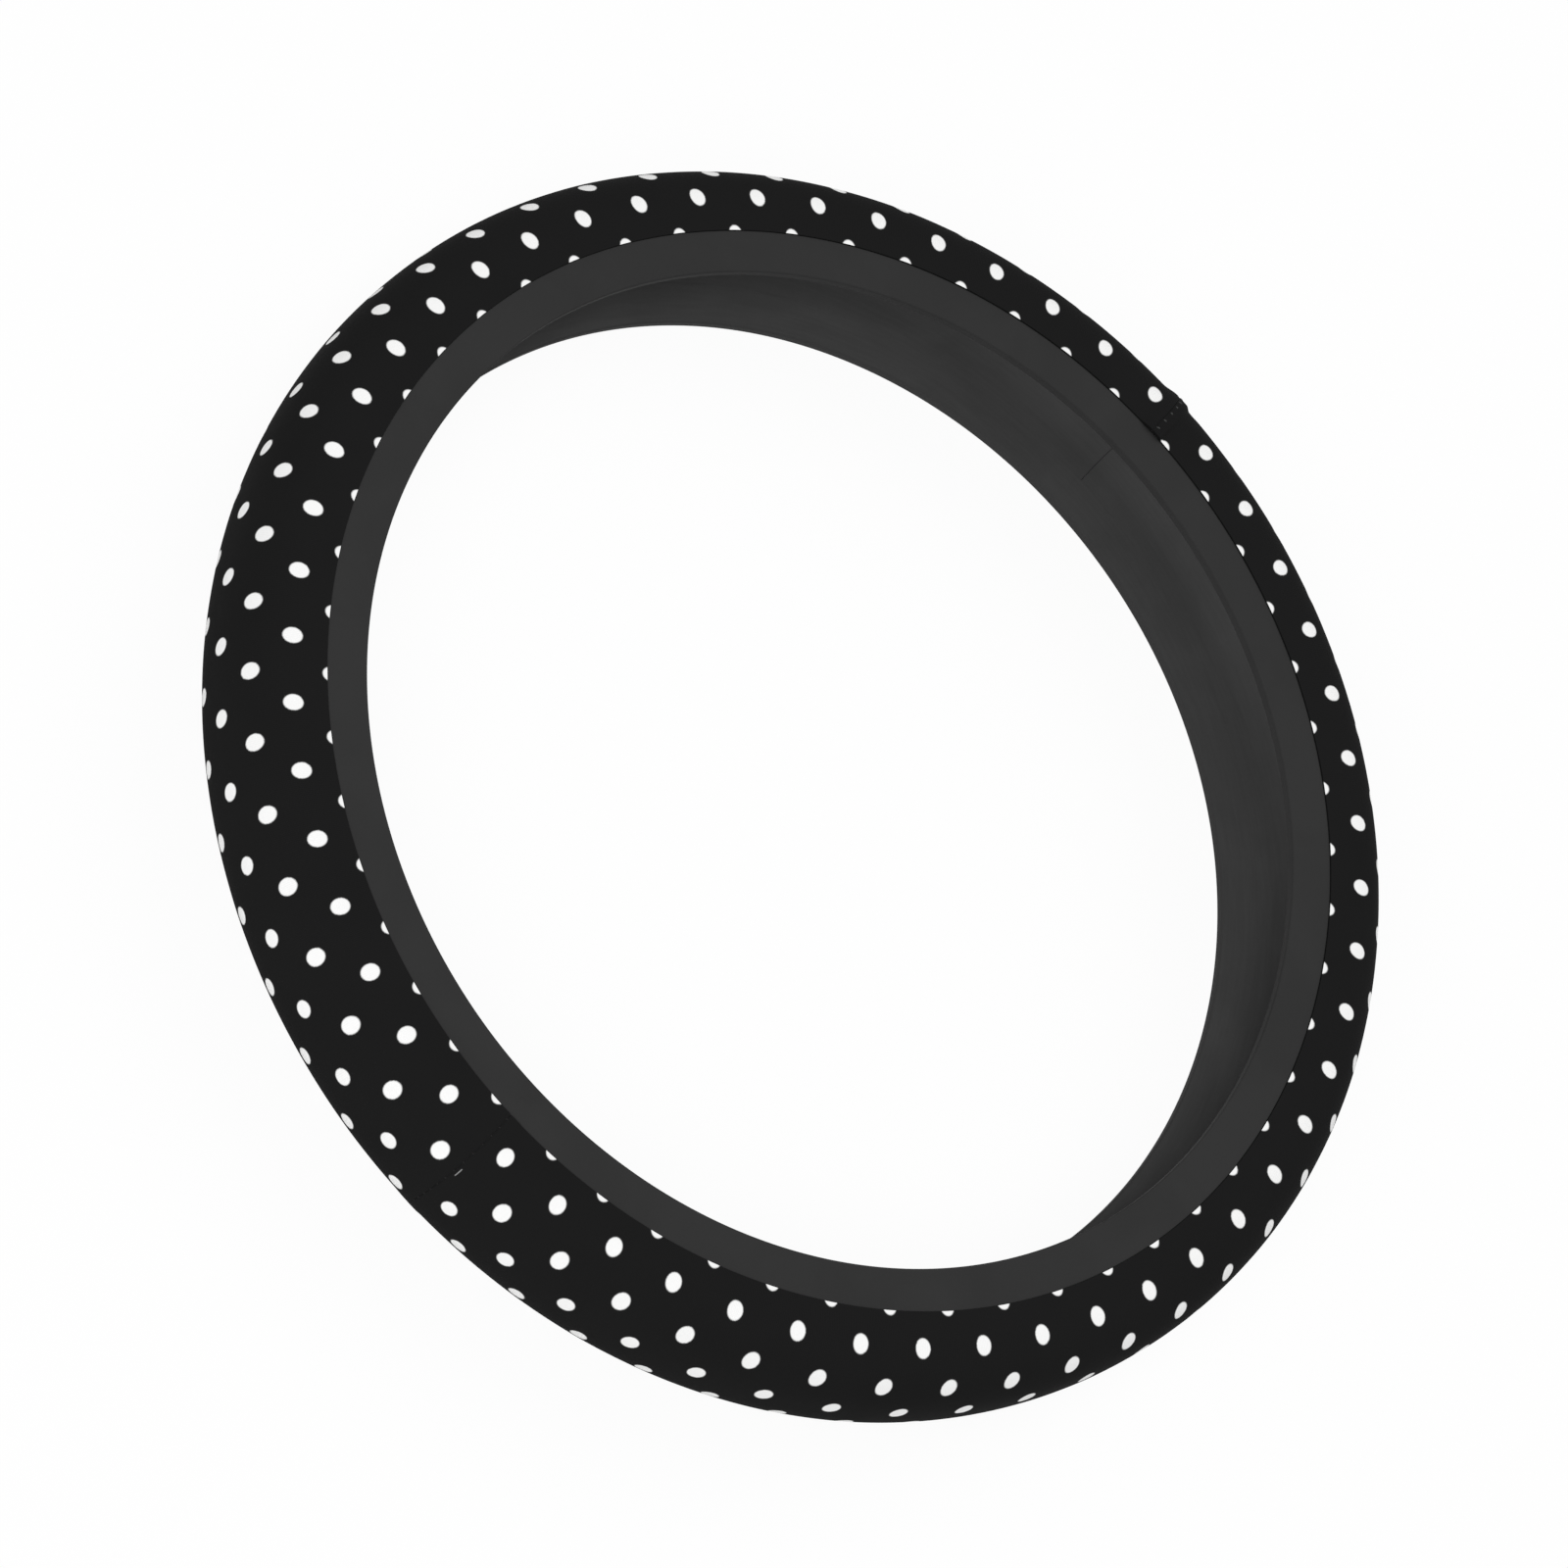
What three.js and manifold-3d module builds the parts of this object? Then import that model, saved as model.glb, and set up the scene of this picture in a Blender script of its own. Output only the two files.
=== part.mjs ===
// Steering wheel cover: a soft ring with a C-shaped section that opens towards its middle.
// A black, dotted fabric wraps the outside in two half-ring panels, sewn together at two seams.
// Under it lies a rubber channel liner, and a flat grey lip closes each side towards the middle.
// Units are millimetres. The ring lies flat on its back, its axis is +Z and its front faces up.
// The origin is at the middle of the ring, on the surface that it lies on. The seams are at +Y and -Y.

import * as THREE from "three";
import { mergeVertices } from "three/addons/utils/BufferGeometryUtils.js";
import Module from "manifold-3d";

// Overall size
const OUTER_RADIUS = 195;
const HEIGHT = 46;

// Section, from the outer edge inwards: a round side to the shoulder, a flat to the fabric's border, a lip
const ROUND_DEPTH = 20;
const SECTION_POWER = 2.34; // of the round side: 2 is an ellipse, more is squarer
const FLAT_WIDTH = 5.3;
const LIP_WIDTH = 13.3;

// Walls, and how far a lip lies below the fabric beside it
const FABRIC_THICKNESS = 1.2;
const LINER_THICKNESS = 2;
const LIP_THICKNESS = 2.8;
const LIP_DROP = 0.4;
const LIP_EDGE_RADIUS = 0.6;

// Clearance between pieces that touch
const CLEARANCE = 0.3;

// Printed dots, measured on the fabric
const DOT_LENGTH = 5.5; // along the panel
const DOT_WIDTH = 6.2; // across the panel
const DOT_SPACING = 22.57; // between neighbours of one row, on the outer circle
const ROW_SPACING = 12.56; // between rows, which are staggered
const FIRST_ROW = -1.5; // centre of the first row, from the front border, which cuts its dots
const SEAM_MARGIN = 5; // least distance from a seam to the middle of a dot

// Seams and the butt joint of the liner
const THREAD_DIAMETER = 0.6;
const THREAD_END_INSET = 1; // the thread stops this far inside each border
const LINER_JOINT_GAP = 0.4;

// Facets
const SECTION_STEPS = 12;
const RING_STEPS = 48; // an even number
const DOT_SIDES = 8; // a multiple of 4
const LIP_EDGE_STEPS = 2;
const THREAD_SIDES = 6;
const THREAD_STEPS = 28;

// Values worked out from the sizes above
const HALF_HEIGHT = HEIGHT / 2;
const SHOULDER_RADIUS = OUTER_RADIUS - ROUND_DEPTH;
const BORDER_RADIUS = SHOULDER_RADIUS - FLAT_WIDTH;
const LIP_INNER_RADIUS = BORDER_RADIUS - LIP_WIDTH;
const LINER_INSET = FABRIC_THICKNESS + CLEARANCE;
const SEAM_GAP = THREAD_DIAMETER + 2 * CLEARANCE;
const COLUMN_SPACING = DOT_SPACING / 2; // a dot stands on every second column of its row

const FABRIC_BLACK = new THREE.Color(0x1f1f1f);
const DOT_WHITE = new THREE.Color(0xf2f2f2);
const RUBBER_GREY = new THREE.Color(0x363636);
const LIP_GREY = new THREE.Color(0x343434);
const THREAD_BLACK = new THREE.Color(0x2a2a2a);

const wasm = await Module();
wasm.setup();

// A three.js geometry as a manifold-3d solid.
function solidOf(geometry) {
  const bare = geometry.clone();
  bare.deleteAttribute("normal");
  bare.deleteAttribute("uv");
  const merged = mergeVertices(bare, 1e-4);
  return new wasm.Manifold(
    new wasm.Mesh({
      numProp: 3,
      vertProperties: merged.attributes.position.array,
      triVerts: new Uint32Array(merged.index.array),
    }),
  );
}

// A manifold-3d solid as a three.js geometry.
function geometryOf(solid) {
  const mesh = solid.getMesh();
  const geometry = new THREE.BufferGeometry();
  geometry.setAttribute("position", new THREE.BufferAttribute(mesh.vertProperties, 3));
  geometry.setIndex(new THREE.BufferAttribute(mesh.triVerts, 1));
  const flat = geometry.toNonIndexed();
  flat.computeVertexNormals();
  return flat;
}

// The round stretch of the section, as a superellipse about the shoulder. Inset moves it inwards.
class RoundSide extends THREE.Curve {
  constructor(inset) {
    super();
    this.reach = OUTER_RADIUS - SHOULDER_RADIUS - inset;
    this.rise = HALF_HEIGHT - inset;
  }

  getPoint(t, target = new THREE.Vector2()) {
    const turn = Math.PI * (0.5 - t);
    const out = Math.max(Math.cos(turn), 0) ** (2 / SECTION_POWER);
    const up = Math.abs(Math.sin(turn)) ** (2 / SECTION_POWER);
    return target.set(SHOULDER_RADIUS + this.reach * out, Math.sign(Math.sin(turn)) * this.rise * up);
  }
}

// The section from the front border to the back border, as radius and height above the mid-plane.
function bandCurve(inset) {
  const level = HALF_HEIGHT - inset;
  const band = new THREE.CurvePath();
  band.add(
    new THREE.LineCurve(new THREE.Vector2(BORDER_RADIUS, level), new THREE.Vector2(SHOULDER_RADIUS, level)),
  );
  band.add(new RoundSide(inset));
  band.add(
    new THREE.LineCurve(new THREE.Vector2(SHOULDER_RADIUS, -level), new THREE.Vector2(BORDER_RADIUS, -level)),
  );
  return band;
}

// Points spread evenly along a section curve.
function spread(curve, steps) {
  return Array.from({ length: steps + 1 }, (_, i) => curve.getPoint(i / steps));
}

// A closed profile of radius and height, turned about +Z. The ring's first edge lies at -Y.
function turned(profile) {
  const closed = [...profile, profile[0]];
  const geometry = new THREE.LatheGeometry(closed, RING_STEPS);
  geometry.rotateX(Math.PI / 2);
  return geometry;
}

// Triangle corners on the flat fabric: x along the panel on the outer circle, y across from the front border.
const BAND_LENGTH = bandCurve(0).getLength();
const PANEL_LENGTH = Math.PI * OUTER_RADIUS - SEAM_GAP;
const COLUMN_COUNT = Math.floor((PANEL_LENGTH - 2 * SEAM_MARGIN) / COLUMN_SPACING) + 1;
const FIRST_COLUMN = (PANEL_LENGTH - (COLUMN_COUNT - 1) * COLUMN_SPACING) / 2;
const ROW_COUNT = Math.ceil((BAND_LENGTH - FIRST_ROW) / ROW_SPACING) + 1;

const columnAt = (i) => FIRST_COLUMN + i * COLUMN_SPACING;
const rowAt = (k) => FIRST_ROW + k * ROW_SPACING;
const isDot = (i, k) => (i + k) % 2 !== 0;

// Points of a dot's rim between two quarter turns, counted anticlockwise from +X.
function rimPoints(x, y, fromQuarter, toQuarter) {
  const steps = ((toQuarter - fromQuarter) * DOT_SIDES) / 4;
  return Array.from({ length: steps + 1 }, (_, i) => {
    const turn = (fromQuarter * Math.PI) / 2 + (2 * Math.PI * i) / DOT_SIDES;
    return new THREE.Vector2(x + (DOT_LENGTH / 2) * Math.cos(turn), y + (DOT_WIDTH / 2) * Math.sin(turn));
  });
}

// Triangles of one printed dot.
function dotTriangles(i, k) {
  const rim = rimPoints(columnAt(i), rowAt(k), 0, 4).slice(0, -1);
  return rim.slice(2).map((_, n) => [rim[0], rim[n + 1], rim[n + 2]]);
}

// Triangles of the plain fabric between four neighbouring places of the print, two of them dots.
function groundTriangles(i, k) {
  const [x0, x1, y0, y1] = [columnAt(i), columnAt(i + 1), rowAt(k), rowAt(k + 1)];
  const centre = new THREE.Vector2((x0 + x1) / 2, (y0 + y1) / 2);
  const right = new THREE.Vector2(x1, centre.y);
  const left = new THREE.Vector2(x0, centre.y);
  const outline = isDot(i, k)
    ? [
        new THREE.Vector2(x1, y0),
        right,
        ...rimPoints(x1, y1, 2, 3).reverse(),
        new THREE.Vector2(x0, y1),
        left,
        ...rimPoints(x0, y0, 0, 1).reverse(),
      ]
    : [
        new THREE.Vector2(x0, y0),
        ...rimPoints(x1, y0, 1, 2).reverse(),
        right,
        new THREE.Vector2(x1, y1),
        ...rimPoints(x0, y1, 3, 4).reverse(),
        left,
      ];
  return outline.map((corner, n) => [centre, corner, outline[(n + 1) % outline.length]]);
}

// The part of a triangle on one side of a line, where distance is 0 or more, as triangles.
function clipped(triangle, distance) {
  const kept = [];
  triangle.forEach((corner, n) => {
    const next = triangle[(n + 1) % 3];
    const [here, there] = [distance(corner), distance(next)];
    if (here >= 0) kept.push(corner);
    if ((here > 0 && there < 0) || (here < 0 && there > 0)) {
      const from = here < 0 ? corner : next;
      const to = here < 0 ? next : corner;
      const share = distance(from) / (distance(from) - distance(to));
      kept.push(from.clone().lerp(to, share));
    }
  });
  return kept.slice(2).map((_, n) => [kept[0], kept[n + 1], kept[n + 2]]);
}

// The whole flat panel: triangles with their colours, cut off at its two borders and two seams.
function printedPanel() {
  const pieces = [];
  for (let k = 0; k < ROW_COUNT; k += 1) {
    for (let i = -1; i <= COLUMN_COUNT; i += 1) {
      if (isDot(i, k)) pieces.push(...dotTriangles(i, k).map((t) => [t, DOT_WHITE]));
      pieces.push(...groundTriangles(i, k).map((t) => [t, FABRIC_BLACK]));
    }
  }
  const sides = [(p) => p.x, (p) => PANEL_LENGTH - p.x, (p) => p.y, (p) => BAND_LENGTH - p.y];
  return sides.reduce(
    (list, side) => list.flatMap(([t, colour]) => clipped(t, side).map((c) => [c, colour])),
    pieces,
  );
}

// A grid of plain triangles for the side of the panel that faces the liner.
function plainPanel() {
  const columns = RING_STEPS / 2;
  const at = (i, k) => new THREE.Vector2((PANEL_LENGTH * i) / columns, (BAND_LENGTH * k) / SECTION_STEPS);
  const pieces = [];
  for (let k = 0; k < SECTION_STEPS; k += 1) {
    for (let i = 0; i < columns; i += 1) {
      pieces.push([[at(i, k), at(i + 1, k), at(i + 1, k + 1)], FABRIC_BLACK]);
      pieces.push([[at(i, k), at(i + 1, k + 1), at(i, k + 1)], FABRIC_BLACK]);
    }
  }
  return pieces;
}

// The flat corners along one side of a panel, in order. Side is x or y, at is its place there.
function edgeOf(pieces, side, at) {
  const other = side === "x" ? "y" : "x";
  const places = new Map();
  for (const [triangle] of pieces) {
    for (const corner of triangle) {
      if (Math.abs(corner[side] - at) < 1e-6) places.set(corner[other].toFixed(5), corner);
    }
  }
  return [...places.values()].sort((a, b) => a[other] - b[other]);
}

// Triangles of the cut edge between two rows of corners that run side by side.
function edgeWall(first, second, axis) {
  const wall = [];
  let [i, k] = [0, 0];
  while (i < first.length - 1 || k < second.length - 1) {
    const stepFirst =
      k === second.length - 1 || (i < first.length - 1 && first[i + 1][axis] <= second[k + 1][axis]);
    wall.push(
      stepFirst
        ? [["outer", first[i]], ["outer", first[i + 1]], ["inner", second[k]]]
        : [["outer", first[i]], ["inner", second[k + 1]], ["inner", second[k]]],
    );
    if (stepFirst) i += 1;
    else k += 1;
  }
  return wall;
}

// One half-ring panel of fabric. Its middle lies at the given angle from +X.
function fabricPanel(name, middleAngle) {
  const bands = { outer: bandCurve(0), inner: bandCurve(FABRIC_THICKNESS) };
  const placed = (layer, corner) => {
    const place = bands[layer].getPoint(Math.min(Math.max(corner.y / BAND_LENGTH, 0), 1));
    const angle = middleAngle + (corner.x - PANEL_LENGTH / 2) / OUTER_RADIUS;
    return [place.x * Math.cos(angle), place.x * Math.sin(angle), place.y];
  };
  const positions = [];
  const colours = [];
  const add = (corners, colour) => {
    positions.push(...corners.flat());
    for (let n = 0; n < 3; n += 1) colours.push(colour.r, colour.g, colour.b);
  };
  const front = printedPanel();
  const back = plainPanel();
  for (const [t, colour] of front) add([t[0], t[2], t[1]].map((c) => placed("outer", c)), colour);
  for (const [t, colour] of back) add(t.map((c) => placed("inner", c)), colour);
  const sides = [["x", 0, true], ["x", PANEL_LENGTH, false], ["y", 0, false], ["y", BAND_LENGTH, true]];
  for (const [side, at, reversed] of sides) {
    const along = side === "x" ? "y" : "x";
    for (const face of edgeWall(edgeOf(front, side, at), edgeOf(back, side, at), along)) {
      const corners = face.map(([layer, corner]) => placed(layer, corner));
      add(reversed ? corners.reverse() : corners, FABRIC_BLACK);
    }
  }
  const geometry = new THREE.BufferGeometry();
  geometry.setAttribute("position", new THREE.Float32BufferAttribute(positions, 3));
  geometry.setAttribute("color", new THREE.Float32BufferAttribute(colours, 3));
  geometry.computeVertexNormals();
  const material = new THREE.MeshStandardMaterial({ vertexColors: true, roughness: 0.85, metalness: 0 });
  return named(name, geometry, material);
}

// The rubber channel under the fabric: one strip bent into a ring, with its butt joint at +Y.
function channelLiner() {
  const outside = spread(bandCurve(LINER_INSET), SECTION_STEPS);
  const inside = spread(bandCurve(LINER_INSET + LINER_THICKNESS), SECTION_STEPS);
  const ring = solidOf(turned([...inside, ...outside.reverse()]));
  const slit = new THREE.BoxGeometry(LINER_JOINT_GAP, OUTER_RADIUS - LIP_INNER_RADIUS, HEIGHT);
  slit.translate(0, (OUTER_RADIUS + LIP_INNER_RADIUS) / 2, 0);
  const geometry = geometryOf(ring.subtract(solidOf(slit)));
  const material = new THREE.MeshStandardMaterial({ color: RUBBER_GREY, roughness: 0.75, metalness: 0 });
  return named("channel_liner", geometry, material);
}

// One flat lip, with a rounded inner edge. Its outer face looks up, and it is centred on z = 0.
function lip(name) {
  const half = LIP_THICKNESS / 2;
  const outline = new THREE.Path();
  outline.moveTo(BORDER_RADIUS - CLEARANCE, half);
  outline.lineTo(LIP_INNER_RADIUS + LIP_EDGE_RADIUS, half);
  outline.absarc(
    LIP_INNER_RADIUS + LIP_EDGE_RADIUS,
    half - LIP_EDGE_RADIUS,
    LIP_EDGE_RADIUS,
    Math.PI / 2,
    Math.PI,
    false,
  );
  outline.absarc(
    LIP_INNER_RADIUS + LIP_EDGE_RADIUS,
    LIP_EDGE_RADIUS - half,
    LIP_EDGE_RADIUS,
    Math.PI,
    (3 * Math.PI) / 2,
    false,
  );
  outline.lineTo(BORDER_RADIUS - CLEARANCE, -half);
  const profile = outline.getPoints(LIP_EDGE_STEPS);
  const material = new THREE.MeshStandardMaterial({ color: LIP_GREY, roughness: 0.8, metalness: 0 });
  return named(name, turned(profile), material);
}

// The path of a seam's thread, halfway into the fabric, from one border to the other.
class SeamPath extends THREE.Curve {
  constructor(side) {
    super();
    this.side = side;
    this.band = bandCurve(FABRIC_THICKNESS / 2);
    this.inset = THREAD_END_INSET / this.band.getLength();
  }

  getPoint(t, target = new THREE.Vector3()) {
    const place = this.band.getPoint(this.inset + t * (1 - 2 * this.inset));
    return target.set(0, this.side * place.x, place.y);
  }
}

// The thread that closes one seam. Side is 1 at +Y and -1 at -Y.
function seamThread(name, side) {
  const section = new THREE.Shape();
  for (let n = 0; n < THREAD_SIDES; n += 1) {
    const turn = (2 * Math.PI * n) / THREAD_SIDES;
    const x = (THREAD_DIAMETER / 2) * Math.cos(turn);
    const y = (THREAD_DIAMETER / 2) * Math.sin(turn);
    if (n === 0) section.moveTo(x, y);
    else section.lineTo(x, y);
  }
  const geometry = new THREE.ExtrudeGeometry(section, {
    steps: THREAD_STEPS,
    extrudePath: new SeamPath(side),
  });
  const material = new THREE.MeshStandardMaterial({ color: THREAD_BLACK, roughness: 0.7, metalness: 0 });
  return named(name, geometry, material);
}

function named(name, geometry, material) {
  const mesh = new THREE.Mesh(geometry, material);
  mesh.name = name;
  return mesh;
}

const cover = new THREE.Group();
cover.position.z = HALF_HEIGHT;

cover.add(fabricPanel("fabric_panel_right", 0));
cover.add(fabricPanel("fabric_panel_left", Math.PI));
cover.add(channelLiner());

const frontLip = lip("front_lip");
frontLip.position.z = HALF_HEIGHT - LIP_DROP - LIP_THICKNESS / 2;
cover.add(frontLip);

const backLip = lip("back_lip");
backLip.rotation.x = Math.PI;
backLip.position.z = -frontLip.position.z;
cover.add(backLip);

cover.add(seamThread("seam_thread_far", 1));
cover.add(seamThread("seam_thread_near", -1));

export default cover;
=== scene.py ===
"""Steering wheel cover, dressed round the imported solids. Metres, in the solids' own frame.

The ring lies on its back with its axis on +Z. The fabric's seams stand at +Y and -Y.
"""

import math

import bpy
from mathutils import Matrix, Vector


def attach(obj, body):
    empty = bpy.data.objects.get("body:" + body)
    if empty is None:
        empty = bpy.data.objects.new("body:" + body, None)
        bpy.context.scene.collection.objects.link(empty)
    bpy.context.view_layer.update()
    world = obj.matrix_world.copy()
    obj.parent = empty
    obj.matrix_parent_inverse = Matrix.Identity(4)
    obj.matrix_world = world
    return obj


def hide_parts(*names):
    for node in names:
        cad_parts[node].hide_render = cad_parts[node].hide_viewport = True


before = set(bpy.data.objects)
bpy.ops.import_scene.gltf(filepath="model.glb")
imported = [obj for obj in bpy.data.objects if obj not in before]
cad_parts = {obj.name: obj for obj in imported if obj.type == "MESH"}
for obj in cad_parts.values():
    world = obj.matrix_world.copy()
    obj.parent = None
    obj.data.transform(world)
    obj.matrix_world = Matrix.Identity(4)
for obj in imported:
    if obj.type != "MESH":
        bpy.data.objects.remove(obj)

MM = 0.001

# Sizes that the solids have too
OUTER_RADIUS = 195 * MM
HALF_HEIGHT = 23 * MM
ROUND_DEPTH = 20 * MM
SECTION_POWER = 2.34
FLAT_WIDTH = 5.3 * MM
FABRIC_THICKNESS = 1.2 * MM
LINER_INSET = 1.5 * MM
LINER_THICKNESS = 2 * MM
LIP_INNER_RADIUS = 156.4 * MM
LIP_DROP = 0.4 * MM
LIP_EDGE_RADIUS = 0.6 * MM
SHOULDER_RADIUS = OUTER_RADIUS - ROUND_DEPTH
BORDER_RADIUS = SHOULDER_RADIUS - FLAT_WIDTH

# Sizes of the dressed pieces alone
LIP_THICKNESS = 3.1 * MM  # as far in as the liner's face, so that the two look like one moulding
LIP_OUTER_RADIUS = BORDER_RADIUS - 0.05 * MM  # just inside the fabric's border
LIP_OUTER_EDGE_RADIUS = 0.25 * MM
LINER_REACH = 0.6 * MM  # of its borders past the fabric's, into the lips
LINER_JOINT_GAP = 0.05 * MM
LINER_EDGE_RADIUS = 0.25 * MM
FABRIC_EDGE_RADIUS = 0.35 * MM
UNEVENNESS = 0.08 * MM
UNEVENNESS_SPACING = 30 * MM
SEAM_GAP = 0.1 * MM  # between the panels, narrower than the gap between the solids
PANEL_LENGTH = math.pi * OUTER_RADIUS - SEAM_GAP

# Size of a panel before it is stretched over the liner
BAND_WIDTH = 79.7 * MM

# Print, in millimetres on the fabric: along the panel, and across it from the front border
DOT_LENGTH = 5.25
DOT_WIDTH = 5.95
DOT_SPACING = 22.57
ROW_SPACING = 12.56
FIRST_ROW = -1.5
INK_EDGE = 0.11  # share of a dot's size over which its edge fades
KNIT_ALONG = 0.62
KNIT_ACROSS = 0.46

# Seams: the far one stands proud on its folded allowance, the near one lies nearly flat
SEAM_ANGLES = {"far": math.pi / 2, "near": -math.pi / 2}
RIDGE_HEIGHTS = {"far": 0.9 * MM, "near": 0.15 * MM}
GROOVE_DEPTHS = {"far": 0.12 * MM, "near": 0.14 * MM}
GROOVE_REACH = 0.5 * MM
STITCH_PITCH = 3.67 * MM
STITCH_SIDES = {"far": -1.03 * MM, "near": 0.0}  # round the rim from the seam's line
STITCH_LIFTS = {"far": 0.88 * MM, "near": -0.1 * MM}
LOOSE_END_SIDE = 1.25 * MM

# Shares of the half height: below the first, relief is pressed flat, and above the second it is whole
PRESSED = (-0.99, -0.8)

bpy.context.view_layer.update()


# Node trees

class Number:
    """A socket with a number. Sums on it add Math nodes to its tree."""

    def __init__(self, tree, socket):
        self.tree = tree
        self.socket = socket

    def math(self, operation, *values):
        made = self.tree.node("ShaderNodeMath", {"operation": operation}, dict(enumerate(values)))
        return Number(self.tree, made.outputs[0])

    def __add__(self, other):
        return self.math("ADD", self, other)

    def __radd__(self, other):
        return self.math("ADD", other, self)

    def __sub__(self, other):
        return self.math("SUBTRACT", self, other)

    def __rsub__(self, other):
        return self.math("SUBTRACT", other, self)

    def __mul__(self, other):
        return self.math("MULTIPLY", self, other)

    def __rmul__(self, other):
        return self.math("MULTIPLY", other, self)

    def __truediv__(self, other):
        return self.math("DIVIDE", self, other)

    def __rtruediv__(self, other):
        return self.math("DIVIDE", other, self)

    def __pow__(self, other):
        return self.math("POWER", self, other)

    def __neg__(self):
        return self.math("MULTIPLY", self, -1)

    def __abs__(self):
        return self.math("ABSOLUTE", self)

    def __mod__(self, other):
        return self.math("FLOORED_MODULO", self, other)

    def sin(self):
        return self.math("SINE", self)

    def cos(self):
        return self.math("COSINE", self)

    def sign(self):
        return self.math("SIGN", self)

    def rounded(self):
        return self.math("ROUND", self)

    def exp(self):
        return self.math("EXPONENT", self)

    def at_least(self, other):
        return self.math("MAXIMUM", self, other)

    def at_most(self, other):
        return self.math("MINIMUM", self, other)

    def above(self, other):
        return self.math("GREATER_THAN", self, other)

    def eased(self, low, high):
        """0 at low, 1 at high and a smooth step between them."""
        made = self.tree.node(
            "ShaderNodeMapRange",
            {"interpolation_type": "SMOOTHSTEP"},
            {"Value": self, "From Min": low, "From Max": high, "To Min": 0.0, "To Max": 1.0},
        )
        return Number(self.tree, made.outputs["Result"])


class Tree:
    """A shader or geometry node tree that is written as expressions."""

    def __init__(self, tree):
        self.tree = tree
        self.tree.nodes.clear()

    def node(self, kind, settings=None, sockets=None):
        """A node of that kind, with its settings made first, then its sockets' values or links."""
        made = self.tree.nodes.new(kind)
        for name, value in (settings or {}).items():
            setattr(made, name, value)
        for key, value in (sockets or {}).items():
            source = getattr(value, "socket", value)
            if isinstance(source, bpy.types.NodeSocket):
                self.tree.links.new(source, made.inputs[key])
            else:
                made.inputs[key].default_value = source
        return made

    def number(self, made, output=0):
        return Number(self, made.outputs[output])

    def parts(self, vector):
        """A vector socket's three numbers."""
        made = self.node("ShaderNodeSeparateXYZ", {}, {0: vector})
        return [Number(self, made.outputs[n]) for n in range(3)]

    def vector(self, x, y, z):
        return self.node("ShaderNodeCombineXYZ", {}, {"X": x, "Y": y, "Z": z}).outputs[0]

    def mixed(self, first, second, share):
        """Two colours mixed by share, from 0 for the first to 1 for the second."""
        made = self.node("ShaderNodeMix", {"data_type": "RGBA"}, {0: share, 6: first, 7: second})
        return made.outputs[2]


# Shapes: each is a geometry tree with its sizes as named inputs

SOCKET_KINDS = {float: "NodeSocketFloat", int: "NodeSocketInt"}


def shape_tree(name, sizes):
    """An empty geometry tree with a named input for each size and one for the material.

    The inputs come with it, as numbers by name.
    """
    group = bpy.data.node_groups.new(name, "GeometryNodeTree")
    group.interface.new_socket("Shape", in_out="OUTPUT", socket_type="NodeSocketGeometry")
    for label, value in sizes.items():
        group.interface.new_socket(label, in_out="INPUT", socket_type=SOCKET_KINDS[type(value)])
    group.interface.new_socket("Material", in_out="INPUT", socket_type="NodeSocketMaterial")
    tree = Tree(group)
    entry = tree.node("NodeGroupInput")
    return tree, {label: Number(tree, entry.outputs[label]) for label in [*sizes, "Material"]}


def end_tree(tree, shape, material):
    """The tree's last nodes: smooth shading, the material, and no instances left."""
    smooth = tree.node("GeometryNodeSetShadeSmooth", {}, {"Geometry": shape})
    real = tree.node("GeometryNodeRealizeInstances", {}, {"Geometry": smooth.outputs[0]})
    dressed = tree.node("GeometryNodeSetMaterial", {}, {"Geometry": real.outputs[0], "Material": material})
    tree.node("NodeGroupOutput", {}, {0: dressed.outputs[0]})
    return tree.tree


def plain_mesh(holder):
    """The object with what its modifiers make as its own mesh, and no modifier left."""
    depsgraph = bpy.context.evaluated_depsgraph_get()
    mesh = bpy.data.meshes.new_from_object(
        holder.evaluated_get(depsgraph), preserve_all_data_layers=True, depsgraph=depsgraph
    )
    mesh.name = holder.name
    holder.modifiers.clear()
    holder.data = mesh
    return holder


def shaped(name, group, sizes):
    """A new piece made by a geometry tree from these sizes."""
    piece = bpy.data.objects.new(name, bpy.data.meshes.new(name))
    bpy.context.scene.collection.objects.link(piece)
    modifier = piece.modifiers.new("shape", "NODES")
    modifier.node_group = group
    for socket in group.interface.items_tree:
        if socket.in_out == "INPUT":
            modifier[socket.identifier] = sizes[socket.name]
    return plain_mesh(piece)


def resampled(tree, curve, count):
    """A curve with that many points, evenly spaced."""
    made = tree.node("GeometryNodeResampleCurve", {"mode": "COUNT"}, {"Curve": curve, "Count": count})
    return made.outputs[0]


def placed(tree, shape, place):
    """A shape with each of its points at that place."""
    return tree.node("GeometryNodeSetPosition", {}, {"Geometry": shape, "Position": place}).outputs[0]


SECTION_POINTS = 193


def section_line(tree, size):
    """The section's open line from the front border to the back one, as x outwards and y up."""
    straight = tree.node("GeometryNodeCurvePrimitiveLine")
    dotted = resampled(tree, straight.outputs[0], SECTION_POINTS)
    share = tree.number(tree.node("GeometryNodeSplineParameter"), "Factor")
    last = SECTION_POINTS - 1
    place = (share * last).rounded()
    round_share = ((place - 1) / (last - 2)).at_least(0).at_most(1)
    turn = (0.5 - round_share) * math.pi
    power = 2 / size["Section power"]
    out = turn.cos().at_least(0) ** power
    up = abs(turn.sin()) ** power * turn.sin().sign()
    at_border = abs(share - 0.5).above(0.4999)
    radius = size["Shoulder radius"] + size["Round depth"] * out - size["Flat width"] * at_border
    return placed(tree, dotted, tree.vector(radius, size["Half height"] * up, 0.0))


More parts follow.
